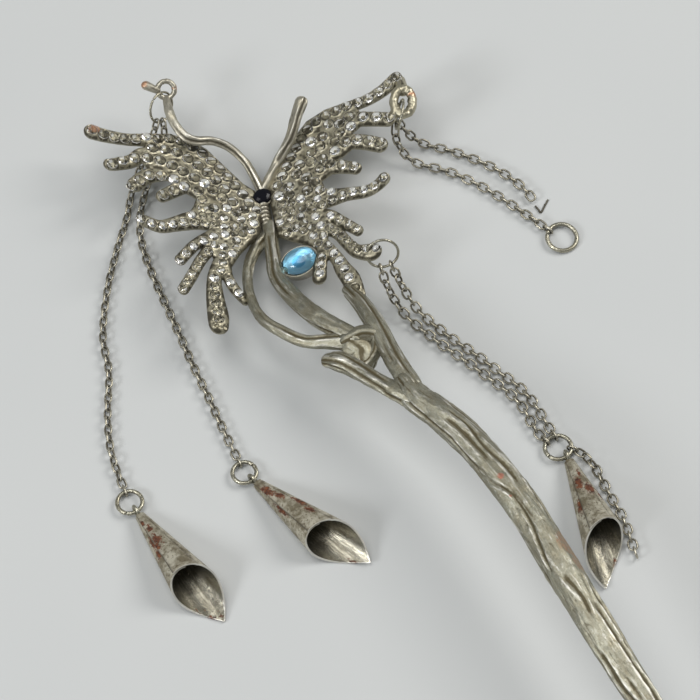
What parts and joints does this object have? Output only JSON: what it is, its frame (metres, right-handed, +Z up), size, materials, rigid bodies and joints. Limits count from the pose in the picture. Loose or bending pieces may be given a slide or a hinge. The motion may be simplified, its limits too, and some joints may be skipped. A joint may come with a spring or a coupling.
{
  "type": "hair stick",
  "caption": "Cast butterfly hair stick with bark-textured branches and shank, inset stones, jump rings, loose-link chains and rolled sheet cone pendants.",
  "frame": {"origin": "centre of the outer box in X and Y, at the level the stick rests on", "axes": "+Y along the stick towards the butterfly's head, +X to the right wing with the butterfly's face up, +Z up from the surface"},
  "size_m": [0.1022, 0.201, 0.02],
  "materials": {
    "cast_silver": "antique silver plate on cast zinc alloy, darkened in the recesses",
    "black_stone": "black faceted glass",
    "blue_stone": "light blue faceted glass",
    "ring_wire": "antique silver plated round wire",
    "link_wire": "dark antique silver plated links",
    "rusted_sheet": "silver plated steel sheet with rust spots"
  },
  "bodies": {
    "root": {"casting": "cast_silver", "black_stone": "black_stone", "blue_stone": "blue_stone", "antenna_ring": "ring_wire", "upper_wing_ring": "ring_wire", "lower_wing_ring": "ring_wire", "left_ring_a": "ring_wire", "left_ring_b": "ring_wire", "free_ring": "ring_wire", "right_ring": "ring_wire", "left_chain_a": "link_wire", "left_chain_b": "link_wire", "upper_chain_a": "link_wire", "upper_chain_b": "link_wire", "rolling_chain_a": "link_wire", "rolling_chain_b": "link_wire", "rolling_tail": "link_wire", "cone_left_a": "rusted_sheet", "cone_left_b": "rusted_sheet", "cone_right": "rusted_sheet"}
  },
  "joints": []
}
